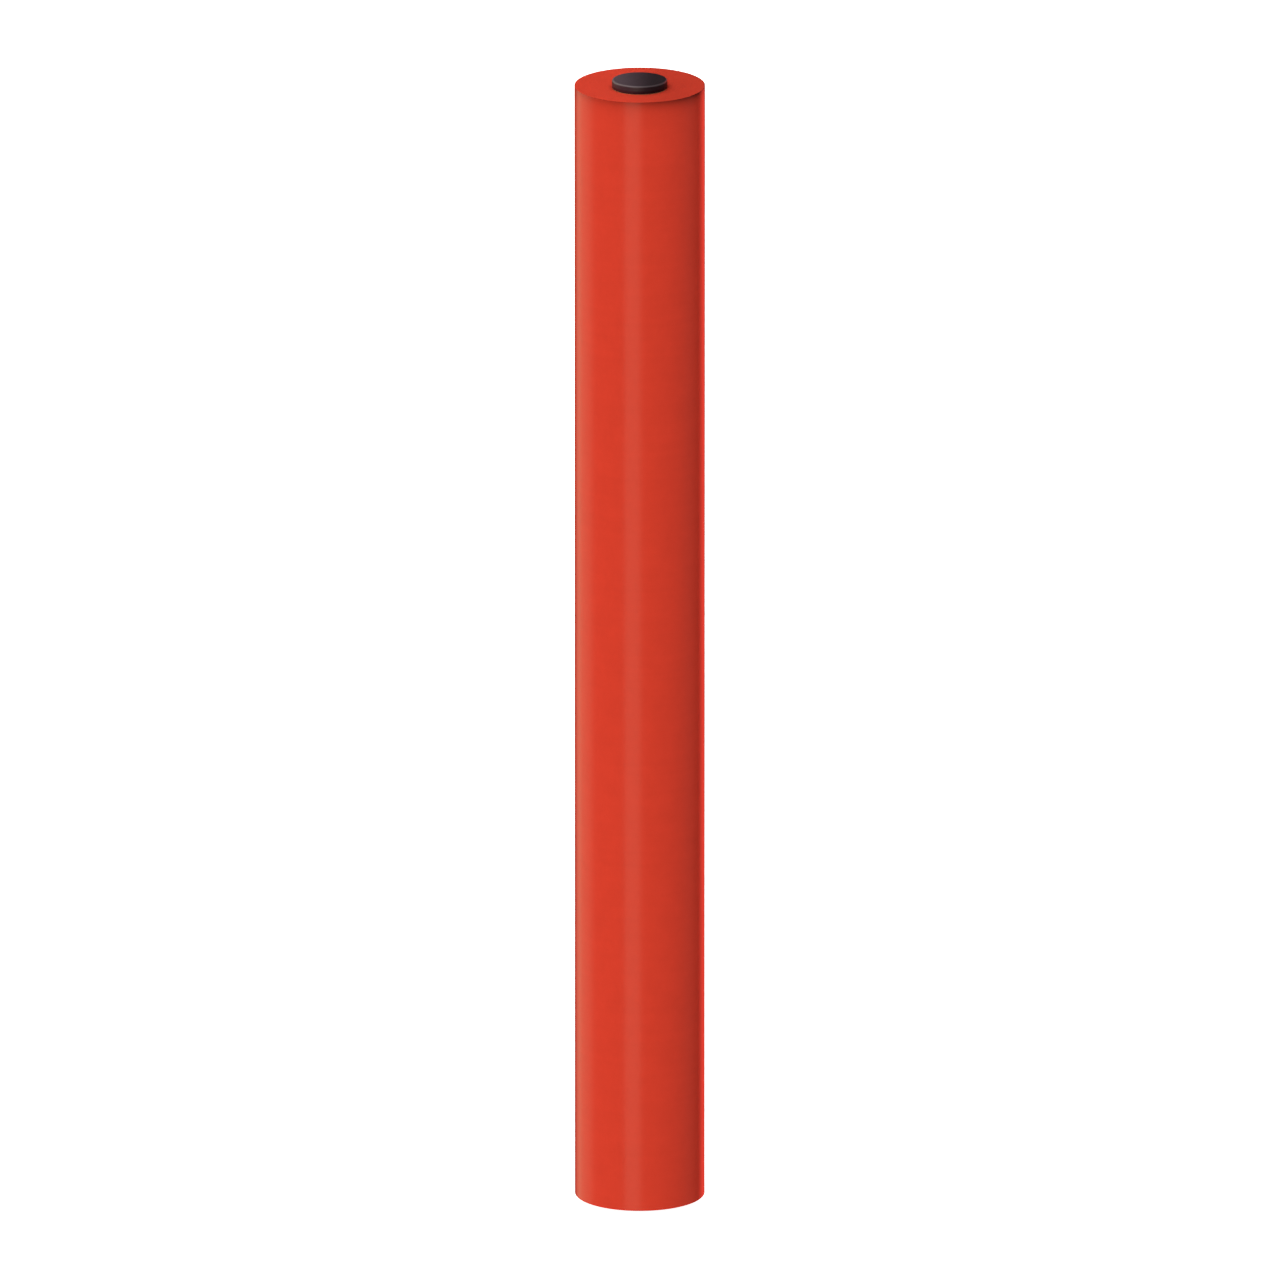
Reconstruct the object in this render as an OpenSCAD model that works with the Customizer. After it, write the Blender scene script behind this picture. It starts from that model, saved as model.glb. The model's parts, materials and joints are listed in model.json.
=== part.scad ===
// Backdrop paper roll: seamless paper wound on a paperboard core, with a plastic plug in each end.
//
// The roll stands upright on its bottom plug. The origin is the centre of the bottom plug's outer face,
// +Z runs up the roll's axis, and all sizes are in millimetres.
// The last stretch of the sheet, the leader, is a chain of narrow strips hinged along the roll, so that
// the free end can be peeled away from the roll.

/* [Paper] */
// Width of the sheet, which is the length of the roll
paper_w = 1350; // [400:10:2750]
// Diameter over the outermost turn
roll_d = 152.7; // [100:0.1:220]
// Thickness of one sheet
sheet_t = 0.25; // [0.15:0.01:0.4]
// Looseness between the leader and the turn below it
leader_gap = 0.1; // [0.05:0.01:0.3]
// How far the sheet wandered along the core while it was wound, which leaves the top end slightly hollow
wander = 3; // [0:0.1:6]

/* [Leader] */
// Angle of the roll that one strip covers, in degrees
strip_deg = 18; // [10:1:20]
// Angle about the axis where the free edge lies, counted from +X towards +Y
free_edge_deg = 106; // [90:1:120]
// Gap between two neighbouring strips
strip_gap = 0.04; // [0.02:0.01:0.1]

/* [Core] */
// Bore of the core, a standard size for backdrop paper
core_bore_d = 57; // [50:0.5:76]
// Thickness of the inner liner ply
liner_t = 0.6; // [0.3:0.1:1]
// Thickness of the body plies together
body_plies_t = 2.2; // [1:0.1:4]
// Thickness of the smooth outer ply
outer_ply_t = 0.66; // [0.3:0.02:1]
// Thickness of the glue line between plies
glue_t = 0.02; // [0.01:0.01:0.05]
// How far the core stands out of the paper at each end
core_proud = 0.5; // [0:0.1:3]

/* [Tapes] */
// Space between the core and the first turn of paper, where the tail tape lies
tail_gap = 0.2; // [0.15:0.01:0.4]
// Thickness of the tail tape
tail_tape_t = 0.12; // [0.05:0.01:0.13]
// Number of tape strips along the sheet, at the core and at the free edge alike
tape_count = 3; // [2:1:5]
// Width of a tape strip, along the roll
tape_w = 24; // [12:1:50]
// Length of a tape strip, around the roll
tape_len = 48; // [20:1:80]
// Thickness of the closing tape
closing_tape_t = 0.08; // [0.05:0.01:0.15]
// Share of the closing tape that lies on the leader, the rest bridges the free edge
closing_tape_share = 0.42; // [0.3:0.01:0.48]

/* [Plugs] */
// How far the rim reaches past the outside of the core
rim_over = 0.4; // [0:0.1:3]
// Height of the rim outside the core
rim_h = 9.5; // [5:0.1:16]
// Radius of the rounded outer edge of the rim
rim_round = 2.6; // [0.5:0.1:4]
// Length of the plug's barrel inside the core
barrel_l = 36; // [20:1:60]
// Wall of the barrel and of the plug's face
plug_wall = 2.4; // [1.5:0.1:3]
// Height of the grip ribs above the barrel
rib_h = 0.95; // [0.5:0.05:1.5]
// Width of one grip rib
rib_w = 1.6; // [1:0.1:3]
// Number of grip ribs
rib_count = 16; // [6:1:24]
// Radial clearance between the ribs and the bore
plug_clear = 0.05; // [0.02:0.01:0.1]
// Thickness of the stiffening webs inside the plug
web_t = 1.8; // [1:0.1:3]
// Number of stiffening webs, each reaching from the middle to the barrel
web_count = 4; // [3:1:6]

/* [Hidden] */

paper_red = [0.83, 0.25, 0.18];
board_brown = [0.66, 0.52, 0.36];
board_grey = [0.60, 0.55, 0.47];
tape_cream = [0.87, 0.82, 0.68];
plug_black = [0.16, 0.14, 0.15];

// heights along the axis: the core side of the sheet's ends, and the outermost turn set off by the wander
paper_z0 = rim_h + core_proud;
paper_z1 = paper_z0 + paper_w;
core_z0 = rim_h;
core_z1 = paper_z1 + core_proud;
outer_z0 = paper_z0 + wander;
outer_z1 = paper_z1 + wander;

// radii of the core, from the bore outwards
liner_r0 = core_bore_d / 2;
liner_r1 = liner_r0 + liner_t;
body_r0 = liner_r1 + glue_t;
body_r1 = body_r0 + body_plies_t;
outer_r0 = body_r1 + glue_t;
outer_r1 = outer_r0 + outer_ply_t;

// the leader has one strip for each leader_strip node
leader_strips = 8;
strip_facets = 6;

// radii of the paper: the pack climbs by one turn over climb_deg and steps down where the leader leaves it
turn_pitch = sheet_t + leader_gap;
roll_r = roll_d / 2;
pack_r = roll_r - turn_pitch;
paper_bore_r = outer_r1 + tail_gap;
root_deg = free_edge_deg - leader_strips * strip_deg;
strip_gap_deg = strip_gap / roll_r * 180 / PI;
climb_deg = 120;

// tapes
tail_tape_r = outer_r1 + (tail_gap - tail_tape_t) / 2;
tail_deg = tape_len / tail_tape_r * 180 / PI;
tape_pitch = paper_w / tape_count;
closing_deg = tape_len / roll_r * 180 / PI;
tape_lift = 0.02;

// plug
rim_r = outer_r1 + rim_over;
barrel_r = liner_r0 - plug_clear - rib_h;
rib_r = liner_r0 - plug_clear;
cavity_r = barrel_r - plug_wall;
lead_in = 1.5;
web_short = 8;
round_steps = 96;

// how far a cutting or joining shape reaches past the face it meets
overlap = 0.5;
$fn = 180;

// A straight tube standing on the XY plane
module tube(r_in, r_out, z0, z1) {
    translate([0, 0, z0])
        difference() {
            cylinder(r = r_out, h = z1 - z0);
            translate([0, 0, -overlap])
                cylinder(r = r_in, h = z1 - z0 + 2 * overlap);
        }
}

// A slice of a tube between two angles, up to half a turn
module arc_sheet(r_in, r_out, a0, a1, z0, z1) {
    translate([0, 0, z0])
        rotate([0, 0, a0])
            rotate_extrude(angle = a1 - a0)
                translate([r_in, 0])
                    square([r_out - r_in, z1 - z0]);
}

// The middle height of each tape strip above the sheet's lower edge
function tape_z(i) = tape_pitch * (i + 0.5);

module core_liner_ply() {
    color(board_grey)
        tube(liner_r0, liner_r1, core_z0, core_z1);
}

module core_body_plies() {
    color(board_brown)
        tube(body_r0, body_r1, core_z0, core_z1);
}

module core_outer_ply() {
    color(board_brown)
        tube(outer_r0, outer_r1, core_z0, core_z1);
}

module tail_tapes() {
    color(tape_cream)
        for (i = [0 : tape_count - 1])
            arc_sheet(tail_tape_r, tail_tape_r + tail_tape_t, 0, tail_deg,
                paper_z0 + tape_z(i) - tape_w / 2, paper_z0 + tape_z(i) + tape_w / 2);
}

// Outline of the rolled pack: a circle, and over the last part of a turn a slightly larger one set off to
// one side, so that the outline climbs by one turn's pitch and drops back where the leader leaves it
module pack_outline() {
    set_off = turn_pitch / (1 - cos(climb_deg));
    circle(r = pack_r);
    rotate(root_deg)
        intersection() {
            translate([set_off, 0])
                circle(r = roll_r - set_off);
            translate([-pack_r / 2, -2 * roll_r])
                square([2 * roll_r, 2 * roll_r]);
        }
}

// The space that the wound sheet fills, with ends that rise by the wander from the core to the last turn
module wander_slab() {
    rotate_extrude()
        polygon([
            [paper_bore_r, paper_z0],
            [roll_r, outer_z0],
            [roll_r, outer_z1],
            [paper_bore_r, paper_z1]
        ]);
}

module wound_paper() {
    color(paper_red)
        intersection() {
            wander_slab();
            translate([0, 0, paper_z0 - overlap])
                linear_extrude(height = paper_w + wander + 2 * overlap)
                    pack_outline();
        }
}

// One strip of the leader, counted from where the sheet leaves the pack, folded from narrow flat facets
module leader_strip(i) {
    a0 = root_deg + (i - 1) * strip_deg + strip_gap_deg;
    a1 = root_deg + i * strip_deg;
    angles = [for (k = [0 : strip_facets]) a0 + (a1 - a0) * k / strip_facets];
    outer = [for (k = [0 : strip_facets]) roll_r * [cos(angles[k]), sin(angles[k])]];
    inner = [for (k = [strip_facets : -1 : 0]) (roll_r - sheet_t) * [cos(angles[k]), sin(angles[k])]];
    color(paper_red)
        translate([0, 0, outer_z0])
            linear_extrude(height = paper_w)
                polygon(concat(outer, inner));
}

// Each tape lies on the last strip and carries on past the free edge
module closing_tapes() {
    a0 = free_edge_deg - closing_deg * closing_tape_share;
    color(tape_cream)
        for (i = [0 : tape_count - 1])
            arc_sheet(roll_r + tape_lift, roll_r + tape_lift + closing_tape_t, a0, a0 + closing_deg,
                outer_z0 + tape_z(i) - tape_w / 2, outer_z0 + tape_z(i) + tape_w / 2);
}

// Outline of the rim and barrel, with the rim's outer face at height 0 and the barrel going up
module plug_outline() {
    difference() {
        union() {
            translate([0, rim_round])
                square([rim_r, rim_h - rim_round]);
            square([rim_r - rim_round, rim_h]);
            translate([rim_r - rim_round, rim_round])
                circle(r = rim_round, $fn = round_steps);
            square([barrel_r, rim_h + barrel_l]);
        }
        translate([-rim_r, -overlap])
            square([rim_r, rim_h + barrel_l + 2 * overlap]);
        translate([-overlap, plug_wall])
            square([cavity_r + overlap, rim_h + barrel_l]);
    }
}

// The ring that the grip ribs are cut from, with a sloped lead-in at its inner end
module rib_ring() {
    rotate_extrude()
        polygon([
            [barrel_r - overlap, rim_h - overlap],
            [rib_r, rim_h - overlap],
            [rib_r, rim_h + barrel_l - lead_in],
            [barrel_r, rim_h + barrel_l],
            [barrel_r - overlap, rim_h + barrel_l]
        ]);
}

module grip_ribs() {
    intersection() {
        rib_ring();
        for (i = [0 : rib_count - 1])
            rotate([0, 0, i * 360 / rib_count])
                translate([0, -rib_w / 2, 0])
                    cube([rim_r, rib_w, rim_h + barrel_l + overlap]);
    }
}

module webs() {
    for (i = [0 : web_count - 1])
        rotate([0, 0, (i + 0.5) * 360 / web_count])
            translate([0, -web_t / 2, plug_wall - overlap])
                cube([cavity_r + overlap, web_t, rim_h + barrel_l - web_short - plug_wall]);
}

// One moulding, drawn with its outer face on the XY plane
module plug() {
    color(plug_black)
        union() {
            rotate_extrude()
                plug_outline();
            grip_ribs();
            webs();
        }
}

module bottom_plug() {
    plug();
}

module top_plug() {
    translate([0, 0, core_z1 + rim_h])
        mirror([0, 0, 1])
            plug();
}

core_liner_ply();
core_body_plies();
core_outer_ply();
tail_tapes();
wound_paper();
leader_strip(1);  // leader_strip_1
leader_strip(2);  // leader_strip_2
leader_strip(3);  // leader_strip_3
leader_strip(4);  // leader_strip_4
leader_strip(5);  // leader_strip_5
leader_strip(6);  // leader_strip_6
leader_strip(7);  // leader_strip_7
leader_strip(8);  // leader_strip_8
closing_tapes();
top_plug();
bottom_plug();
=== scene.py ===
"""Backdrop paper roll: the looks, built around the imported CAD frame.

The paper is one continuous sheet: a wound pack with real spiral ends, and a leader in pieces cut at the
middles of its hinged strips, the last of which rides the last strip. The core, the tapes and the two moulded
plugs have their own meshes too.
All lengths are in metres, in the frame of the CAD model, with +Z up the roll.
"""

import json
import math

import bmesh
import bpy
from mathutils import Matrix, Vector, noise

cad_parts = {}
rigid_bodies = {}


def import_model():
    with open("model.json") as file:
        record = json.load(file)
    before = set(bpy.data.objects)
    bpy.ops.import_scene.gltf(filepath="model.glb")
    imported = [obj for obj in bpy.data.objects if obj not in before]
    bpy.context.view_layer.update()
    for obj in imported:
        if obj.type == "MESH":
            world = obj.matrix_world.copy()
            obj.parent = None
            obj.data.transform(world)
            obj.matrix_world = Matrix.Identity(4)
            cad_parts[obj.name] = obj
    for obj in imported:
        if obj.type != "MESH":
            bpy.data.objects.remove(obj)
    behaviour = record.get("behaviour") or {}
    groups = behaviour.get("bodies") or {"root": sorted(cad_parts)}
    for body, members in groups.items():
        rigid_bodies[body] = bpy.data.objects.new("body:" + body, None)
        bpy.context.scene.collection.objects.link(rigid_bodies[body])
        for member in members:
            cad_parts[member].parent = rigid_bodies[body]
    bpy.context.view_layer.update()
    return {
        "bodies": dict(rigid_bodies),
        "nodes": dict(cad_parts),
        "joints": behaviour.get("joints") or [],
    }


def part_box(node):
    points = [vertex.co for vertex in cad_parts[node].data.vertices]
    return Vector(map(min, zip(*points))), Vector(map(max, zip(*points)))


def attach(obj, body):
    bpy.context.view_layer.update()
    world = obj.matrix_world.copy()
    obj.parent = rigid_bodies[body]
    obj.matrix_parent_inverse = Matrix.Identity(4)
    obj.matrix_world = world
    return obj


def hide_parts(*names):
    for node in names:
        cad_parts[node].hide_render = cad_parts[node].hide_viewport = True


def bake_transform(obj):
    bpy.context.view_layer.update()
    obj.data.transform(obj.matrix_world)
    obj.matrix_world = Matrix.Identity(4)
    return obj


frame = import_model()

MM = 0.001
TURN = 2 * math.pi


# ---------------------------------------------------------------- sizes read from the frame

def node_radii(node, z_low=-math.inf, z_high=math.inf):
    """Smallest and largest distance from the roll's axis of a CAD node's vertices between two heights."""
    points = [v.co for v in frame["nodes"][node].data.vertices if z_low <= v.co.z <= z_high]
    radii = [math.hypot(p.x, p.y) for p in points]
    return min(radii), max(radii)


def node_heights(node):
    low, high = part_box(node)
    return low.z, high.z


def solid_heights(node, gap=60 * MM):
    """The height ranges of a node's solids, which stand well over a gap apart and are less than one tall."""
    heights = sorted(v.co.z for v in frame["nodes"][node].data.vertices)
    spans = [[heights[0], heights[0]]]
    for z in heights[1:]:
        if z - spans[-1][1] > gap:
            spans.append([z, z])
        spans[-1][1] = z
    return spans


def node_angles(node, start):
    """The range of angles about the axis that a CAD node covers, counted up from start."""
    angles = [(math.atan2(v.co.y, v.co.x) - start) % TURN + start for v in frame["nodes"][node].data.vertices]
    return min(angles), max(angles)


hinges = [j for j in frame["joints"] if j["type"] == "hinge"]
root_angle = math.atan2(hinges[0]["pos_m"][1], hinges[0]["pos_m"][0])
strip_angle = math.atan2(hinges[1]["pos_m"][1], hinges[1]["pos_m"][0]) - root_angle
free_angle = root_angle + len(hinges) * strip_angle
roll_r = math.hypot(*hinges[0]["pos_m"][:2])
sheet_t = roll_r - node_radii("leader_strip_1")[0]
sheet_z0, sheet_z1 = node_heights("leader_strip_1")
wander = sheet_z0 - node_heights("wound_paper")[0]
paper_r0 = node_radii("wound_paper")[0]
pack_r = max(math.hypot(v.co.x, v.co.y) for v in frame["nodes"]["wound_paper"].data.vertices if v.co.y > 0)
turn_pitch = roll_r - pack_r
core_z0, core_z1 = node_heights("core_outer_ply")
rim_r = node_radii("top_plug")[1]
rim_h = node_heights("top_plug")[1] - core_z1
plug_h = node_heights("top_plug")[1] - node_heights("top_plug")[0]
rib_r = node_radii("top_plug", z_high=core_z1 - 10 * MM)[1]
top_z = node_heights("top_plug")[1]


# ---------------------------------------------------------------- mesh helpers

def make_object(name, vertices, faces, sharp_deg=32):
    """A mesh object with smooth faces, sharp where they meet at more than sharp_deg."""
    mesh = bpy.data.meshes.new(name)
    mesh.from_pydata(vertices, [], faces)
    mesh.validate()
    work = bmesh.new()
    work.from_mesh(mesh)
    bmesh.ops.remove_doubles(work, verts=work.verts, dist=1e-7)
    bmesh.ops.recalc_face_normals(work, faces=work.faces)
    work.to_mesh(mesh)
    work.free()
    mesh.polygons.foreach_set("use_smooth", [True] * len(mesh.polygons))
    mesh.set_sharp_from_angle(angle=math.radians(sharp_deg))
    obj = bpy.data.objects.new(name, mesh)
    bpy.context.scene.collection.objects.link(obj)
    return obj


def polar(radius, angle, z):
    return radius * math.cos(angle), radius * math.sin(angle), z


def spread(low, high, count):
    """count + 1 evenly spaced values from low to high."""
    return [low + (high - low) * i / count for i in range(count + 1)]


def ease(x):
    x = min(1.0, max(0.0, x))
    return x * x * (3 - 2 * x)


class Mesher:
    """Collects vertices and faces, with grids of vertices addressed by row and column."""

    def __init__(self):
        self.vertices = []
        self.faces = []

    def add(self, point):
        self.vertices.append(point)
        return len(self.vertices) - 1

    def grid(self, rows):
        """rows of points become quads between neighbouring rows and columns."""
        ids = [[self.add(p) for p in row] for row in rows]
        self.stitch(ids)
        return ids

    def stitch(self, ids):
        for low, high in zip(ids, ids[1:]):
            for c in range(len(low) - 1):
                quad = [low[c], low[c + 1], high[c + 1], high[c]]
                face = [v for i, v in enumerate(quad) if v not in quad[:i]]
                if len(face) > 2:
                    self.faces.append(face)


BAND_DEPTH = 0.03 * MM
BAND_PER_M = 9.0
HOLLOW_DEPTH = 0.035 * MM
HOLLOW_PER_M = 4.0
HOLLOW_ROUND = 1.6


def surface_wave(angle, z):
    """Slight unevenness of the outermost turn: broad hard bands round the roll and shallow hollows."""
    band = noise.noise(Vector((3.1, 0.7, z * BAND_PER_M)))
    round_x, round_y = math.cos(angle) * HOLLOW_ROUND, math.sin(angle) * HOLLOW_ROUND
    hollow = noise.noise(Vector((round_x, round_y, z * HOLLOW_PER_M)))
    return BAND_DEPTH * band + HOLLOW_DEPTH * hollow


# ---------------------------------------------------------------- the sheet

SIDE_ROWS = 54
EDGE_ROUND = 0.18 * MM
EDGE_STEP = 1.2 * MM
EDGE_BAND = 4 * MM
INNER_INSET = 0.3
COLUMN = math.radians(1)


def sheet_heights():
    """Heights of the rows along the sheet, closer together at its two cut edges."""
    inner = spread(sheet_z0 + EDGE_BAND, sheet_z1 - EDGE_BAND, SIDE_ROWS)
    low = [sheet_z0, sheet_z0 + EDGE_ROUND, sheet_z0 + EDGE_STEP]
    high = [sheet_z1 - EDGE_STEP, sheet_z1 - EDGE_ROUND, sheet_z1]
    return low + inner + high


def edge_inset(z):
    """How far the outer surface is pulled in at the very edge of the sheet."""
    return EDGE_ROUND if min(z - sheet_z0, sheet_z1 - z) < EDGE_ROUND / 2 else 0.0


def leader_piece(name, angle0, angle1):
    """A closed piece of the leader between two angles, from the lower edge of the sheet to the upper."""
    mesh = Mesher()
    angles = spread(angle0, angle1, round((angle1 - angle0) / COLUMN))
    outer_rows = []
    inner_rows = []
    for z in sheet_heights():
        inset = edge_inset(z)
        outer_rows.append([polar(leader_surface(a, z) - inset, a, z) for a in angles])
        inner_rows.append([polar(leader_surface(a, z) - sheet_t + inset * INNER_INSET, a, z) for a in angles])
    outer_ids = mesh.grid(outer_rows)
    inner_ids = mesh.grid(inner_rows)
    for r in (0, -1):
        mesh.stitch([outer_ids[r], inner_ids[r]])
    for c in (0, -1):
        mesh.stitch([[row[c] for row in outer_ids], [row[c] for row in inner_ids]])
    return make_object(name, mesh.vertices, mesh.faces)


def outer_surface(angle, z):
    """Radius of the outer surface: it climbs by one pitch from below the free edge round to the root."""
    climb = (angle - free_angle) / (root_angle + TURN - free_angle)
    return pack_r + turn_pitch * min(1.0, max(0.0, climb)) + surface_wave(angle, z)


def leader_surface(angle, z):
    return roll_r + surface_wave(angle, z)


# the wound pack

RINGS = 56
COLUMNS = 360
RIDGE = 0.025 * MM
DRIFT = 0.22 * MM
GROUP = 0.12 * MM
CALM_SHARE = 1 / 8
UNDER_LEADER = 0.02 * MM


def end_height(ring, column):
    """How far a turn's edge stands in or out of the end face."""
    u = (ring + column / COLUMNS) / RINGS
    angle = TURN * column / COLUMNS
    ridge = 0.0
    if 0 < ring < RINGS:
        ridge = RIDGE if ring % 2 else -RIDGE
    drift = DRIFT * noise.noise(Vector((u * 5.0, 1.3, 0.2)))
    group = GROUP * noise.noise(Vector((u * 17.0, math.cos(angle) * 0.4, math.sin(angle) * 0.4)))
    return ridge + (drift + group) * ease(u / CALM_SHARE) * ease((1 - u) / CALM_SHARE)


def end_face(mesh, z, sign, rim):
    """One end of the pack: a spiral of turns that rises by the wander from the core to the outermost one."""
    ids = []
    for ring in range(-1, RINGS + 1):
        row = []
        for column in range(COLUMNS + 1):
            u = min(1.0, max(0.0, (ring + column / COLUMNS) / RINGS))
            radius = paper_r0 + (pack_r - EDGE_ROUND - paper_r0) * u
            height = z - wander * (1 - u) + sign * end_height(ring, column)
            row.append(polar(radius, root_angle + TURN * column / COLUMNS, height))
        ids.append(row)
    inner = [mesh.add(p) for p in ids[0]]
    last = inner
    for row in ids[1:]:
        here = [mesh.add(p) for p in row]
        mesh.stitch([last, here])
        last = here
    mesh.stitch([last, rim])
    return inner


def wound_pack():
    mesh = Mesher()
    angles = spread(root_angle, root_angle + TURN, COLUMNS)
    covered = round((free_angle - root_angle) / TURN * COLUMNS)

    def radius(column, z):
        if column <= covered:
            return pack_r - edge_inset(z) - UNDER_LEADER
        return outer_surface(angles[column], z) - edge_inset(z)

    rows = [[polar(radius(c, z), a, z) for c, a in enumerate(angles)] for z in sheet_heights()]
    side = mesh.grid(rows)
    butt = [[row[0] for row in side], [row[-1] for row in side]]
    mesh.stitch(butt)
    bottom_inner = end_face(mesh, sheet_z0, -1, side[0])
    top_inner = end_face(mesh, sheet_z1, 1, side[-1])
    mesh.stitch([bottom_inner, top_inner])
    return make_object("paper_pack", mesh.vertices, mesh.faces, sharp_deg=40)


# ---------------------------------------------------------------- tubes and plugs

TUBE_COLUMNS = 160
CHAMFER = 0.12 * MM


def tube(name, r_in, r_out, z0, z1):
    """A tube with slightly broken edges at both ends."""
    angles = spread(0, TURN, TUBE_COLUMNS)[:-1]
    section = [
        (r_in + CHAMFER, z0), (r_out - CHAMFER, z0), (r_out, z0 + CHAMFER), (r_out, z1 - CHAMFER),
        (r_out - CHAMFER, z1), (r_in + CHAMFER, z1), (r_in, z1 - CHAMFER), (r_in, z0 + CHAMFER),
    ]
    mesh = Mesher()
    rows = [[polar(r, a, z) for a in angles + angles[:1]] for r, z in section + section[:1]]
    mesh.grid(rows)
    return make_object(name, mesh.vertices, mesh.faces)


# the plug's own sizes, as in the CAD
RIBS = 16
RIB_H = 0.95 * MM
RIB_W = 1.6 * MM
RIM_ROUND = 2.6 * MM
PLUG_WALL = 2.4 * MM
LEAD_IN = 1.5 * MM
WEB_T = 1.8 * MM
WEB_SHORT = 8 * MM
RIB_SIDE = math.radians(0.4)
PLUG_SHARP_DEG = 28
# the moulding marks: a dimple at the gate, and a parting line round the rim
GATE_R = 1.6 * MM
GATE_DEPTH = 0.18 * MM
LINE_H = 0.05 * MM
LINE_HALF = 0.15 * MM
LINE_SHARE = 0.62
FACE_FILLET = 1.0 * MM
face_r = rim_r - RIM_ROUND


def plug_columns():
    """Angles round the plug with a flag for those on a grip rib, close together at each rib's sides."""
    half = math.asin(RIB_W / 2 / rib_r)
    pitch = TURN / RIBS
    columns = []
    for rib in range(RIBS):
        middle = rib * pitch
        columns += [(middle - half - RIB_SIDE, False), (middle - half, True), (middle, True)]
        columns += [(middle + half, True), (middle + half + RIB_SIDE, False)]
        gap0 = middle + half + RIB_SIDE
        gap1 = middle + pitch - half - RIB_SIDE
        columns += [(a, False) for a in spread(gap0, gap1, 8)[1:-1]]
    return columns


def rim_profile():
    """The rim's outline from the middle of the face out to its underside, as radius and depth."""
    points = [(0.0, GATE_DEPTH), (GATE_R * 0.8, GATE_DEPTH), (GATE_R, 0.0), (GATE_R + 0.5 * MM, 0.0)]
    points += [(r, 0.0) for r in spread(GATE_R + 4 * MM, face_r - 0.4 * MM, 4)]
    for turn in spread(0, math.pi / 2, 12):
        points.append((face_r + RIM_ROUND * math.sin(turn), RIM_ROUND * (1 - math.cos(turn))))
    line_z = rim_h * LINE_SHARE
    points += [(rim_r, line_z - LINE_HALF), (rim_r + LINE_H, line_z), (rim_r, line_z + LINE_HALF)]
    points += [(rim_r, rim_h - 0.35 * MM), (rim_r - 0.1 * MM, rim_h - 0.1 * MM), (rim_r - 0.35 * MM, rim_h)]
    return points


def plug(name, face_z, inward):
    """One moulded plug. Depth is counted from its outer face, and inward is +1 up or -1 down."""
    columns = plug_columns()
    columns.append((columns[0][0] + TURN, columns[0][1]))
    barrel_r = rib_r - RIB_H
    cavity_r = barrel_r - PLUG_WALL

    rows = [[(r, d)] * len(columns) for r, d in rim_profile()]
    for depth, crest in ((rim_h, 1), (plug_h - LEAD_IN, 1), (plug_h - 0.3 * MM, 0.2)):
        rows.append([(barrel_r + (RIB_H * crest if on_rib else 0), depth) for _, on_rib in columns])
    inner = [(barrel_r - 0.3 * MM, plug_h), (cavity_r + 0.3 * MM, plug_h), (cavity_r, plug_h - 0.3 * MM)]
    inner += [(cavity_r, plug_h * 0.6), (cavity_r, PLUG_WALL + FACE_FILLET)]
    inner += [(cavity_r - FACE_FILLET * 0.3, PLUG_WALL + FACE_FILLET * 0.3)]
    inner += [(cavity_r - FACE_FILLET, PLUG_WALL)]
    inner += [(cavity_r * 0.5, PLUG_WALL), (0.0, PLUG_WALL)]
    rows += [[point] * len(columns) for point in inner]

    mesh = Mesher()
    mesh.grid([
        [polar(r, angle, face_z + inward * d) for (r, d), (angle, _) in zip(row, columns)]
        for row in rows
    ])
    body = make_object(name, mesh.vertices, mesh.faces, sharp_deg=PLUG_SHARP_DEG)
    webs = cross_webs(name, cavity_r + 0.6 * MM, face_z, inward)
    union = body.modifiers.new("webs", "BOOLEAN")
    union.operation = "UNION"
    union.solver = "EXACT"
    union.object = webs
    apply_modifiers(body)
    bpy.data.objects.remove(webs)
    body.data.set_sharp_from_angle(angle=math.radians(PLUG_SHARP_DEG))
    return body


def cross_webs(name, reach, face_z, inward):
    """Two crossed plates that stiffen the plug inside its barrel."""
    half = WEB_T / 2
    corner = math.radians(45)
    outline = []
    for arm in range(4):
        turn = corner + arm * math.pi / 2
        for along, across in ((half, -half), (reach, -half), (reach, half)):
            x = along * math.cos(turn) - across * math.sin(turn)
            y = along * math.sin(turn) + across * math.cos(turn)
            outline.append((x, y))
    depths = (PLUG_WALL - 0.6 * MM, plug_h - WEB_SHORT)
    vertices = [(x, y, face_z + inward * d) for d in depths for x, y in outline]
    count = len(outline)
    faces = [[i, (i + 1) % count, (i + 1) % count + count, i + count] for i in range(count)]
    faces += [list(range(count))[::-1], [i + count for i in range(count)]]
    return make_object(name + "_webs", vertices, faces)


def apply_modifiers(obj):
    """Bakes an object's modifiers into its mesh."""
    bpy.context.view_layer.update()
    evaluated = obj.evaluated_get(bpy.context.evaluated_depsgraph_get())
    mesh = bpy.data.meshes.new_from_object(evaluated)
    obj.modifiers.clear()
    obj.data = mesh


# ---------------------------------------------------------------- tape

TAPE_COLUMNS = 150
TAPE_ROWS = 26
TAPE_LIFT = 0.03 * MM
RAGGED = 0.9 * MM
CREPE_H = 0.018 * MM
CREPE_WAVES = 420


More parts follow.
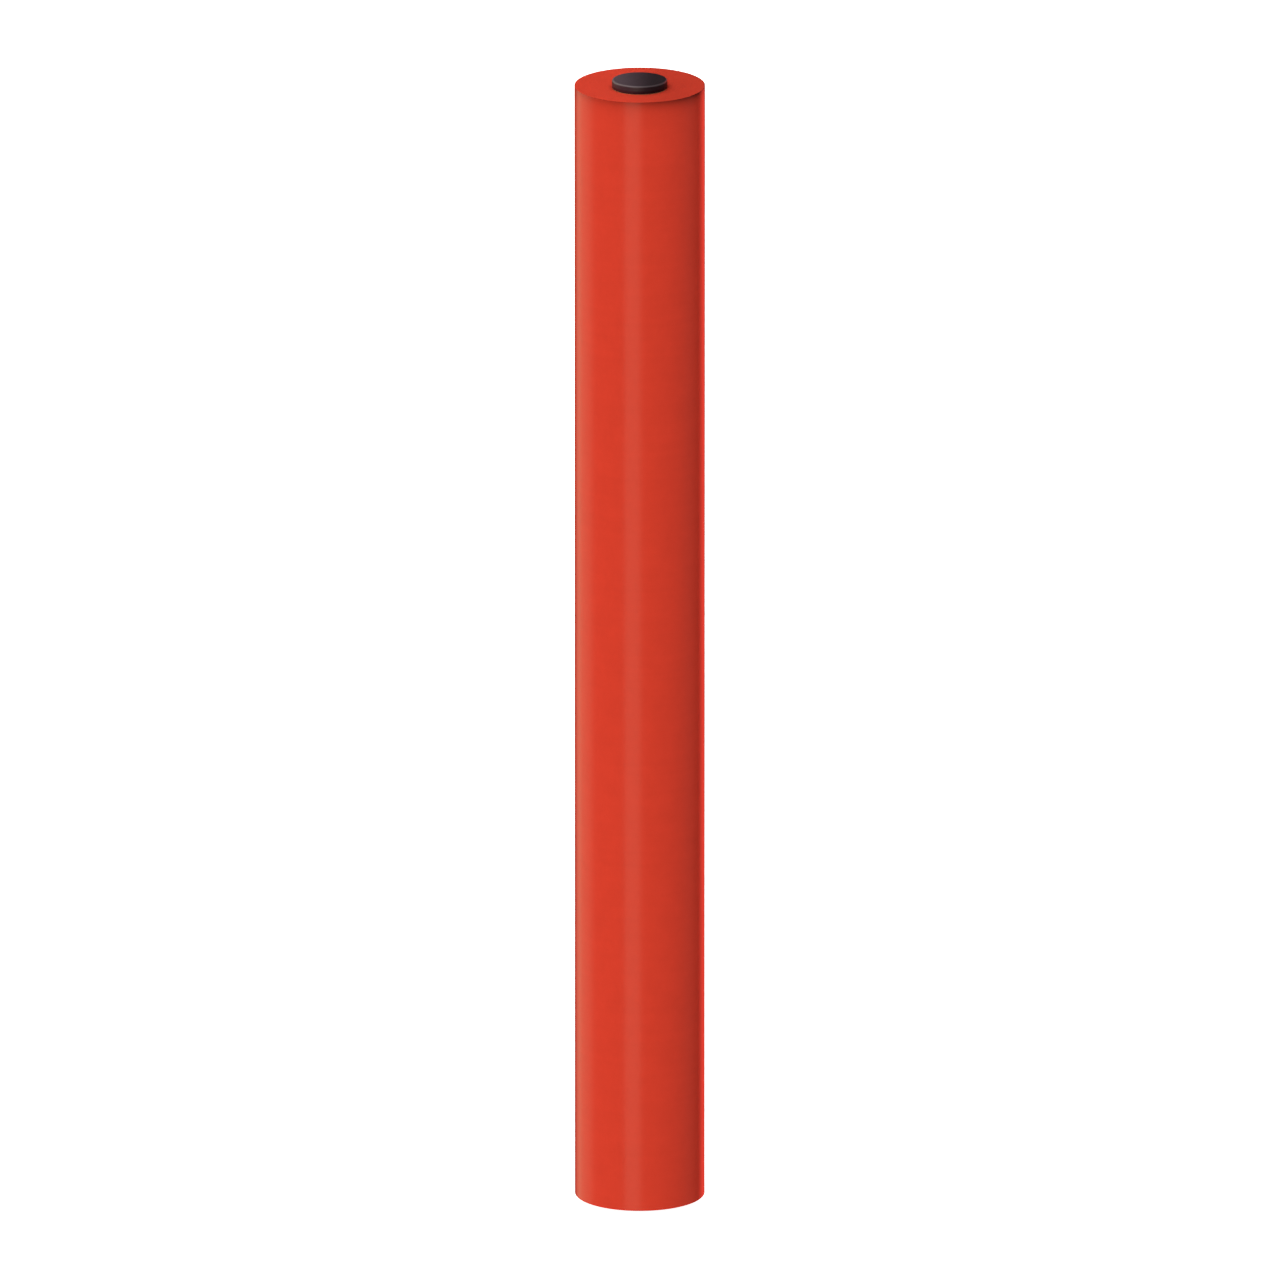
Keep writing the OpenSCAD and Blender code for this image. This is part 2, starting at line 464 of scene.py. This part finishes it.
def tape_strip(name, angle0, angle1, z0, z1, surface, thickness):
    """A torn strip of creped tape: fine crepe across its length and ragged ends."""
    middle_z, half_w = (z0 + z1) / 2, (z1 - z0) / 2
    seed = (z0 * 37) % 5
    mesh = Mesher()
    grids = []
    for side in (1, 0):
        points = []
        for across in spread(-1, 1, TAPE_ROWS):
            z = middle_z + half_w * across
            row = []
            for along in spread(0, 1, TAPE_COLUMNS):
                ragged = RAGGED / roll_r * noise.noise(Vector((across * 9, seed, 2.5 * round(along))))
                angle = angle0 + (angle1 - angle0) * along + ragged * abs(2 * along - 1) ** 6
                shift = 1.5 * noise.noise(Vector((along * 30, across * 2, seed)))
                crepe = CREPE_H * math.sin(along * CREPE_WAVES + shift)
                lift = TAPE_LIFT + side * (thickness + crepe)
                row.append(polar(surface(angle, z) + lift, angle, z))
            points.append(row)
        grids.append(mesh.grid(points))
    top, bottom = grids
    for r in (0, -1):
        mesh.stitch([top[r], bottom[r]])
    for c in (0, -1):
        mesh.stitch([[row[c] for row in top], [row[c] for row in bottom]])
    return make_object(name, mesh.vertices, mesh.faces, sharp_deg=50)


TAPE_SLOPE = math.radians(1.6)


def over_free_edge(angle, z):
    """The surface under a closing tape: the leader, and then down a slope to the turn below."""
    drop = ease((angle - free_angle) / TAPE_SLOPE)
    below = outer_surface(max(angle, free_angle), z)
    return leader_surface(angle, z) * (1 - drop) + below * drop


# ---------------------------------------------------------------- materials

class Nodes:
    """Short names for building a material's node tree."""

    def __init__(self, tree):
        self.tree = tree

    def axes(self, vector):
        """The X, Y and Z sockets of a vector."""
        parts = self.node("ShaderNodeSeparateXYZ")
        self.link(vector, parts.inputs[0])
        return parts.outputs

    def from_axis(self, x, y):
        """The distance from the roll's axis."""
        squares = [self.math("MULTIPLY", value, value) for value in (x, y)]
        return self.math("SQRT", self.math("ADD", *squares))

    def node(self, kind, **settings):
        made = self.tree.nodes.new(kind)
        for key, value in settings.items():
            setattr(made, key, value)
        return made

    def link(self, source, target):
        self.tree.links.new(source, target)

    def feed(self, socket, value):
        if isinstance(value, bpy.types.NodeSocket):
            self.link(value, socket)
        else:
            socket.default_value = value

    def math(self, operation, *values):
        made = self.node("ShaderNodeMath", operation=operation)
        for socket, value in zip(made.inputs, values):
            self.feed(socket, value)
        return made.outputs[0]

    def scale(self, vector, factors):
        made = self.node("ShaderNodeVectorMath", operation="MULTIPLY")
        self.feed(made.inputs[0], vector)
        made.inputs[1].default_value = factors
        return made.outputs[0]

    def noise(self, vector, scale, detail=3.0, roughness=0.5):
        made = self.node("ShaderNodeTexNoise")
        self.link(vector, made.inputs["Vector"])
        made.inputs["Scale"].default_value = scale
        made.inputs["Detail"].default_value = detail
        made.inputs["Roughness"].default_value = roughness
        return made.outputs["Fac"]

    def fit(self, value, low, high, to_low, to_high, smooth=False):
        made = self.node("ShaderNodeMapRange")
        made.interpolation_type = "SMOOTHSTEP" if smooth else "LINEAR"
        self.feed(made.inputs["Value"], value)
        for key, number in (("From Min", low), ("From Max", high), ("To Min", to_low), ("To Max", to_high)):
            made.inputs[key].default_value = number
        return made.outputs["Result"]

    def tint(self, colour, factor):
        """colour, a tuple or a socket, times a brightness factor."""
        made = self.node("ShaderNodeVectorMath", operation="SCALE")
        self.feed(made.inputs[0], colour[:3] if isinstance(colour, tuple) else colour)
        self.feed(made.inputs["Scale"], factor)
        return made.outputs[0]

    def mix(self, factor, first, second):
        made = self.node("ShaderNodeMix", data_type="RGBA")
        self.feed(made.inputs["Factor"], factor)
        colours = [s for s in made.inputs if s.type == "RGBA"]
        for socket, value in zip(colours, (first, second)):
            self.feed(socket, value + (1,) if isinstance(value, tuple) and len(value) == 3 else value)
        return [s for s in made.outputs if s.type == "RGBA"][0]

    def bump(self, height, distance, normal=None):
        made = self.node("ShaderNodeBump")
        made.inputs["Distance"].default_value = distance
        self.feed(made.inputs["Height"], height)
        if normal is not None:
            self.link(normal, made.inputs["Normal"])
        return made.outputs["Normal"]


def new_material(name):
    """A material with a Principled shader: returns it, its node helper, the shader and object coordinates."""
    material = bpy.data.materials.new(name)
    material.use_nodes = True
    nodes = Nodes(material.node_tree)
    shader = material.node_tree.nodes["Principled BSDF"]
    place = nodes.node("ShaderNodeTexCoord").outputs["Object"]
    return material, nodes, shader, place


RED = (0.652, 0.046, 0.024)
END_RED = (0.652, 0.053, 0.029)
# painted shade on the ends: how their brightness falls from left to right, as less light reaches the right
END_SHADE_FALL = (0.9, 0.71)
# painted shade just below the paper's upper edge: how far down it reaches, and how deep it is at the left and
# at the right
SHADE_REACH = 7.5 * MM
SHADE_DEPTH = (0.28, 0.92)
# the lines on the ends stand for turns, and are wider apart than the turns so that they can be drawn
LINE_PITCH = 2.2 * sheet_t


def edge_shade(nodes, place):
    """Painted shade: darkening of the paper's surface just below its upper edge, deeper towards the right."""
    x, _, z = nodes.axes(place)
    below = nodes.math("SUBTRACT", sheet_z1, z)
    fade = nodes.math("EXPONENT", nodes.math("MULTIPLY", below, -1 / SHADE_REACH))
    depth = nodes.fit(x, -roll_r, roll_r, *SHADE_DEPTH)
    return nodes.math("SUBTRACT", 1.0, nodes.math("MULTIPLY", fade, depth))


def red_paper(name, on_ends):
    """Dyed uncoated paper; on_ends adds the lines of the turns' cut edges and painted shade towards the
    right, and the side gets painted shade below its upper edge.
    """
    material, nodes, shader, place = new_material(name)
    fibres = nodes.noise(place, 1400, 6, 0.65)
    cloud = nodes.noise(place, 38, 4, 0.55)
    streaks = nodes.noise(nodes.scale(place, (6, 6, 160)), 1.0, 3, 0.5)
    value = nodes.fit(cloud, 0.3, 0.7, 0.975, 1.02)
    value = nodes.math("ADD", value, nodes.fit(fibres, 0.3, 0.7, -0.03, 0.03))
    value = nodes.math("ADD", value, nodes.fit(streaks, 0.35, 0.65, -0.008, 0.008))
    normal = nodes.bump(fibres, 0.03 * MM)
    if on_ends:
        x, y, _ = nodes.axes(place)
        radius = nodes.from_axis(x, y)
        wobble = nodes.math("MULTIPLY", nodes.noise(place, 14, 2, 0.5), 0.6 * MM)
        ring = nodes.math("MULTIPLY", nodes.math("ADD", radius, wobble), TURN / LINE_PITCH)
        line = nodes.math("SINE", ring)
        patchy = nodes.noise(place, 90, 3, 0.6)
        strength = nodes.fit(patchy, 0.3, 0.7, 0.3, 1.0)
        line = nodes.math("MULTIPLY", line, strength)
        value = nodes.math("ADD", value, nodes.fit(line, -1, 1, -0.06, 0.03))
        normal = nodes.bump(line, 0.05 * MM, normal)
        # painted shade: the ends darken towards the right
        tone = nodes.fit(x, -0.3 * roll_r, 0.5 * roll_r, *END_SHADE_FALL, smooth=True)
        value = nodes.math("MULTIPLY", value, tone)
    else:
        # painted shade below the side's upper edge
        value = nodes.math("MULTIPLY", value, edge_shade(nodes, place))
    nodes.link(nodes.tint(END_RED if on_ends else RED, value), shader.inputs["Base Color"])
    if on_ends:
        shader.inputs["Roughness"].default_value = 0.9
        shader.inputs["Specular IOR Level"].default_value = 0.02
    else:
        nodes.link(nodes.fit(cloud, 0.3, 0.7, 0.19, 0.23), shader.inputs["Roughness"])
        shader.inputs["Specular IOR Level"].default_value = 0.13
    nodes.link(normal, shader.inputs["Normal"])
    return material


SEAM_PITCH = 118 * MM


def board(name, colour, dark):
    """Recycled paperboard: fibres, flecks and the line of the spiral seam."""
    material, nodes, shader, place = new_material(name)
    x, y, z = nodes.axes(place)
    turn = nodes.math("DIVIDE", nodes.math("ARCTAN2", y, x), TURN)
    rise = nodes.math("DIVIDE", z, SEAM_PITCH)
    phase = nodes.math("FRACT", nodes.math("SUBTRACT", rise, turn))
    seam = nodes.fit(nodes.math("ABSOLUTE", nodes.math("SUBTRACT", phase, 0.5)), 0.0, 0.008, 1.0, 0.0)
    fibres = nodes.noise(nodes.scale(place, (1, 1, 0.5)), 700, 6, 0.7)
    flecks = nodes.fit(nodes.noise(place, 320, 2, 0.4), 0.62, 0.7, 0.0, 0.6)
    base = nodes.mix(nodes.fit(fibres, 0.35, 0.65, 0.0, 0.5), colour, dark)
    base = nodes.mix(nodes.math("MAXIMUM", flecks, nodes.math("MULTIPLY", seam, 0.8)), base, dark)
    nodes.link(base, shader.inputs["Base Color"])
    shader.inputs["Roughness"].default_value = 0.8
    shader.inputs["Specular IOR Level"].default_value = 0.2
    height = nodes.math("SUBTRACT", fibres, nodes.math("MULTIPLY", seam, 3.0))
    nodes.link(nodes.bump(height, 0.06 * MM), shader.inputs["Normal"])
    return material


def creped_tape(name):
    """Cream masking tape: crepe across its length and a slight stain."""
    material, nodes, shader, place = new_material(name)
    crepe = nodes.noise(nodes.scale(place, (1, 1, 0.25)), 1500, 3, 0.6)
    stain = nodes.noise(place, 120, 3, 0.5)
    base = nodes.mix(nodes.fit(stain, 0.3, 0.7, 0.0, 1.0), (0.72, 0.60, 0.38), (0.80, 0.71, 0.50))
    base = nodes.tint(base, nodes.fit(crepe, 0.3, 0.7, 0.88, 1.06))
    nodes.link(base, shader.inputs["Base Color"])
    shader.inputs["Roughness"].default_value = 0.62
    shader.inputs["Subsurface Weight"].default_value = 0.05
    shader.inputs["Subsurface Radius"].default_value = (0.0006, 0.0004, 0.0002)
    nodes.link(nodes.bump(crepe, 0.06 * MM), shader.inputs["Normal"])
    return material


PLASTIC = (0.032, 0.0155, 0.0245)
# the colour of a painted highlight on the rounded rim of the plug's face
RIM_HIGHLIGHT_COLOUR = (0.105, 0.074, 0.088)
# painted light on the plug: how its shade, its painted rim highlight and its sheen fall from left to right,
# as the light does
PLUG_SHADE_FALL = (1.25, 0.3)
RIM_HIGHLIGHT_FALL = (1.05, 0.45)
PLUG_SHEEN = (0.35, 0.15)


def black_plastic(name):
    """Moulded polyethylene: a fine spark-eroded grain, faint flow marks and a soft sheen, with a painted
    highlight on the rim of its face and painted shade towards the right.
    """
    material, nodes, shader, place = new_material(name)
    grain = nodes.noise(place, 2600, 3, 0.6)
    flow = nodes.noise(nodes.scale(place, (1, 1, 2.5)), 60, 4, 0.6)
    scuff = nodes.fit(nodes.noise(nodes.scale(place, (3, 1, 1)), 210, 5, 0.7), 0.58, 0.72, 0.0, 1.0)
    value = nodes.math("ADD", nodes.fit(flow, 0.3, 0.7, 0.85, 1.15), nodes.math("MULTIPLY", scuff, 0.5))
    x, y, _ = nodes.axes(place)
    radius = nodes.from_axis(x, y)
    # painted highlight: a ring on the rounded rim of the face, fading towards the right
    highlight_in = nodes.fit(radius, face_r + 0.4 * MM, face_r + 1.3 * MM, 0.0, 1.0, smooth=True)
    highlight_out = nodes.fit(radius, rim_r - 0.5 * MM, rim_r - 0.1 * MM, 1.0, 0.0, smooth=True)
    rim_highlight = nodes.math("MULTIPLY", highlight_in, highlight_out)
    # painted shade: the plug darkens towards the right
    tone = nodes.fit(x, -0.8 * rim_r, 0.7 * rim_r, *PLUG_SHADE_FALL, smooth=True)
    value = nodes.math("MULTIPLY", value, tone)
    highlight_fall = nodes.fit(x, -0.6 * rim_r, 0.4 * rim_r, *RIM_HIGHLIGHT_FALL, smooth=True)
    highlight_colour = nodes.tint(RIM_HIGHLIGHT_COLOUR, highlight_fall)
    base = nodes.mix(rim_highlight, nodes.tint(PLASTIC, value), highlight_colour)
    nodes.link(base, shader.inputs["Base Color"])
    rough = nodes.math("ADD", nodes.fit(grain, 0.3, 0.7, 0.38, 0.46), nodes.math("MULTIPLY", scuff, 0.08))
    nodes.link(rough, shader.inputs["Roughness"])
    # painted sheen: stronger on the left, where the light is, than on the right
    sheen = nodes.fit(x, -0.5 * rim_r, 0.5 * rim_r, *PLUG_SHEEN, smooth=True)
    nodes.link(sheen, shader.inputs["Specular IOR Level"])
    nodes.link(nodes.bump(grain, 0.02 * MM), shader.inputs["Normal"])
    return material


def paint(obj, material):
    obj.data.materials.clear()
    obj.data.materials.append(material)


# ---------------------------------------------------------------- build the object

side_paper = red_paper("red_paper_side", on_ends=False)
end_paper = red_paper("red_paper_ends", on_ends=True)
liner_board = board("liner_board", (0.36, 0.30, 0.22), (0.20, 0.16, 0.11))
kraft_board = board("kraft_board", (0.42, 0.27, 0.14), (0.22, 0.13, 0.06))
tape_paper = creped_tape("creped_tape")
plastic = black_plastic("black_plastic")


def finish_piece(obj, material, body=None, stands_for=()):
    """Paints a piece, and ties it to a body and to the CAD nodes that it replaces."""
    paint(obj, material)
    if body:
        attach(obj, body)
    if stands_for:
        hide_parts(*stands_for)
    return obj


pack = finish_piece(wound_pack(), side_paper, "roll", ["wound_paper"])
pack.data.materials.append(end_paper)
for face in pack.data.polygons:
    if abs(face.normal.z) > 0.6:
        face.material_index = 1


def sheet_normals(obj):
    """Gives the curved faces of a piece the normals of the whole sheet, so that its joins don't show."""
    mesh = obj.data
    normals = []
    for loop in mesh.loops:
        normals.append(mesh.corner_normals[loop.index].vector.copy())
    for face in mesh.polygons:
        outward = Vector((face.center.x, face.center.y, 0)).normalized()
        side = face.normal.dot(outward)
        if abs(side) > 0.9:
            for loop in face.loop_indices:
                point = mesh.vertices[mesh.loops[loop].vertex_index].co
                normals[loop] = Vector((point.x, point.y, 0)).normalized() * math.copysign(1, side)
    mesh.normals_split_custom_set(normals)


strips = len(hinges)
leader_bodies = ["roll"] + [j["child"] for j in hinges]
cuts = [root_angle] + [root_angle + (k + 0.5) * strip_angle for k in range(strips)] + [free_angle]
for k, (angle0, angle1) in enumerate(zip(cuts, cuts[1:])):
    piece = leader_piece(f"leader_sheet_{k + 1}", angle0, angle1)
    nodes_here = [f"leader_strip_{k}"] if k > 0 else []
    sheet_normals(piece)
    if k < strips:
        finish_piece(piece, side_paper, None, nodes_here)
        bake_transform(piece)
    else:
        finish_piece(piece, side_paper, leader_bodies[-1], nodes_here)

closing_angles = node_angles("closing_tapes", root_angle)
closing_t = 0.13 * MM
tail_t = 0.1 * MM
for i, (z0, z1) in enumerate(solid_heights("closing_tapes")):
    strip = tape_strip(f"closing_tape_{i + 1}", *closing_angles, z0, z1, over_free_edge, closing_t)
    finish_piece(strip, tape_paper, leader_bodies[-1], ["closing_tapes"] if i == 0 else ())

tail_angles = node_angles("tail_tapes", -math.pi)
core_r = node_radii("core_outer_ply")[1]
for i, (z0, z1) in enumerate(solid_heights("tail_tapes")):
    strip = tape_strip(f"tail_tape_{i + 1}", *tail_angles, z0, z1, lambda a, z: core_r, tail_t)
    finish_piece(strip, tape_paper, "roll", ["tail_tapes"] if i == 0 else ())

for node, material, slot in (
    ("core_liner_ply", liner_board, "liner_board"),
    ("core_body_plies", kraft_board, "core_board"),
    ("core_outer_ply", kraft_board, "core_board"),
):
    r_in, r_out = node_radii(node)
    ply = tube(node.replace("core_", "core_tube_"), r_in, r_out, core_z0, core_z1)
    finish_piece(ply, material, "roll", [node])

for name, face_z, inward in (("top_plug", top_z, -1), ("bottom_plug", 0.0, 1)):
    finish_piece(plug(name + "_moulding", face_z, inward), plastic, name, [name])


# ---------------------------------------------------------------- stage, light and camera

FLOOR_RINGS = [0.0, 0.2, 0.6, 1.5, 4.0, 12.0, 40.0]
FLOOR_GLOW = 1.0
WHITE = (1.0, 1.0, 1.0)


def stage_floor():
    """A plain pale floor, a wide disc. It goes down with the bottom plug, which stands on it."""
    mesh = Mesher()
    mesh.grid([[polar(r, a, 0.0) for a in spread(0, TURN, 64)] for r in FLOOR_RINGS])
    floor = make_object("studio_floor", mesh.vertices, mesh.faces)
    material, nodes, shader, place = new_material("studio_floor")
    tone = nodes.fit(nodes.noise(place, 3.0, 3, 0.5), 0.3, 0.7, 0.90, 0.93)
    nodes.link(nodes.tint(WHITE, tone), shader.inputs["Base Color"])
    shader.inputs["Roughness"].default_value = 0.9
    shader.inputs["Specular IOR Level"].default_value = 0.0
    shader.inputs["Emission Color"].default_value = (1, 1, 1, 1)
    shader.inputs["Emission Strength"].default_value = FLOOR_GLOW
    paint(floor, material)
    floor.visible_diffuse = False
    floor.visible_glossy = False
    floor.visible_shadow = False
    floor.parent = frame["bodies"]["bottom_plug"]


class Surround(Nodes):
    """The studio round the roll, as soft bright panels seen in each direction."""

    def __init__(self, tree):
        super().__init__(tree)
        x, y, z = self.axes(self.node("ShaderNodeTexCoord").outputs["Generated"])
        self.azimuth = self.math("ARCTAN2", x, self.math("MULTIPLY", y, -1.0))
        self.elevation = self.math("ARCSINE", z)
        self.colour = None

    def window(self, angle, low, high, soft):
        """1 between two angles in degrees, falling smoothly to 0 over soft degrees outside them."""
        low, high, soft = (math.radians(v) for v in (low, high, soft))
        rise = self.fit(angle, low - soft, low, 0.0, 1.0, smooth=True)
        fall = self.fit(angle, high, high + soft, 1.0, 0.0, smooth=True)
        return self.math("MULTIPLY", rise, fall)

    def add_light(self, colour, strength):
        light = self.tint(colour, strength)
        if self.colour is not None:
            total = self.node("ShaderNodeVectorMath", operation="ADD")
            self.link(self.colour, total.inputs[0])
            self.link(light, total.inputs[1])
            light = total.outputs[0]
        self.colour = light

    def panel(self, azimuths, elevations, strength, soft, colour=WHITE):
        """A softbox between two azimuths, counted from the camera's side towards +X, and two elevations."""
        wide = self.window(self.azimuth, *azimuths, soft[0])
        tall = self.window(self.elevation, *elevations, soft[1])
        self.add_light(colour, self.math("MULTIPLY", self.math("MULTIPLY", wide, tall), strength))


CEILING_RISE = math.radians(60)
AMBIENT = (0.06, 0.07)
# softboxes: azimuths, elevations, strength, widths of the soft edges, and a colour if not white
PANELS = [
    # a broad faint fill from the front
    ((-104, 96), (-70, 80), 0.27, (25, 10)),
    # the key, a warm strip just left of the camera
    ((-25, 0), (-50, 40), 2.5, (3, 10), (1.0, 0.93, 0.68)),
    # a warm strip on the left side
    ((-136, -102), (-55, 45), 1.15, (18, 10), (1.0, 0.97, 0.64)),
    # a red-tinted strip at the back right, which lights the right-hand edge
    ((138, 158), (-40, 20), 2.6, (8, 10), (1.0, 0.05, 0.03)),
    # the ceiling
    ((-180, 180), (58, 90), 1.25, (1, 14)),
    # the ceiling again, brighter at the front left
    ((-130, 0), (48, 80), 1.0, (20, 8)),
]


def studio_world():
    """White where the camera looks, and soft panels of light everywhere else."""
    world = bpy.data.worlds.new("studio")
    world.use_nodes = True
    surround = Surround(world.node_tree)
    ambient = surround.fit(surround.elevation, -CEILING_RISE, CEILING_RISE, *AMBIENT, smooth=True)
    surround.add_light(WHITE, ambient)
    for panel in PANELS:
        surround.panel(*panel)
    path = surround.node("ShaderNodeLightPath")
    background = world.node_tree.nodes["Background"]
    background.inputs["Strength"].default_value = 1.0
    seen = surround.mix(path.outputs["Is Camera Ray"], surround.colour, WHITE)
    surround.link(seen, background.inputs["Color"])
    bpy.context.scene.world = world


# the card's place is counted from the middle of the top plug's face
CARD_SIZE = (90 * MM, 60 * MM)
CARD_PLACE = (-60 * MM, 240 * MM, 70 * MM)
CARD_WATTS = 0.009


def plug_card():
    """A small lamp low behind the top plug, on its left, whose glancing light shows up the plug's face."""
    data = bpy.data.lights.new("plug_card", "AREA")
    data.shape = "RECTANGLE"
    data.size, data.size_y = CARD_SIZE
    data.energy = CARD_WATTS
    light = bpy.data.objects.new("plug_card", data)
    bpy.context.scene.collection.objects.link(light)
    face = Vector((0, 0, top_z))
    light.location = face + Vector(CARD_PLACE)
    light.rotation_euler = (face - light.location).to_track_quat("-Z", "Y").to_euler()
    light.visible_camera = False


def studio_camera():
    """A long lens that looks down on the roll from the front with hardly any perspective."""
    elevation = math.radians(16.3)
    # views from other sides keep this lens, and past about 70 m they would clip the roll away
    distance = 50.0
    frame_width = 1.4981
    data = bpy.data.cameras.new("camera")
    data.sensor_width = 36.0
    data.lens = data.sensor_width * distance / frame_width
    data.clip_start, data.clip_end = 1.0, 200.0
    camera = bpy.data.objects.new("camera", data)
    bpy.context.scene.collection.objects.link(camera)
    # the roll stands a little to the left of the middle of the picture and a little low
    aim_right, aim_up = 0.4 * MM, 0.7 * MM
    aim = Vector((aim_right, 0.0, (sheet_z0 + sheet_z1) / 2 + aim_up))
    camera.location = aim + distance * Vector((0, -math.cos(elevation), math.sin(elevation)))
    camera.rotation_euler = (aim - camera.location).to_track_quat("-Z", "Y").to_euler()
    bpy.context.scene.camera = camera


stage_floor()
studio_world()
plug_card()
studio_camera()
bpy.context.scene.view_settings.view_transform = "Standard"
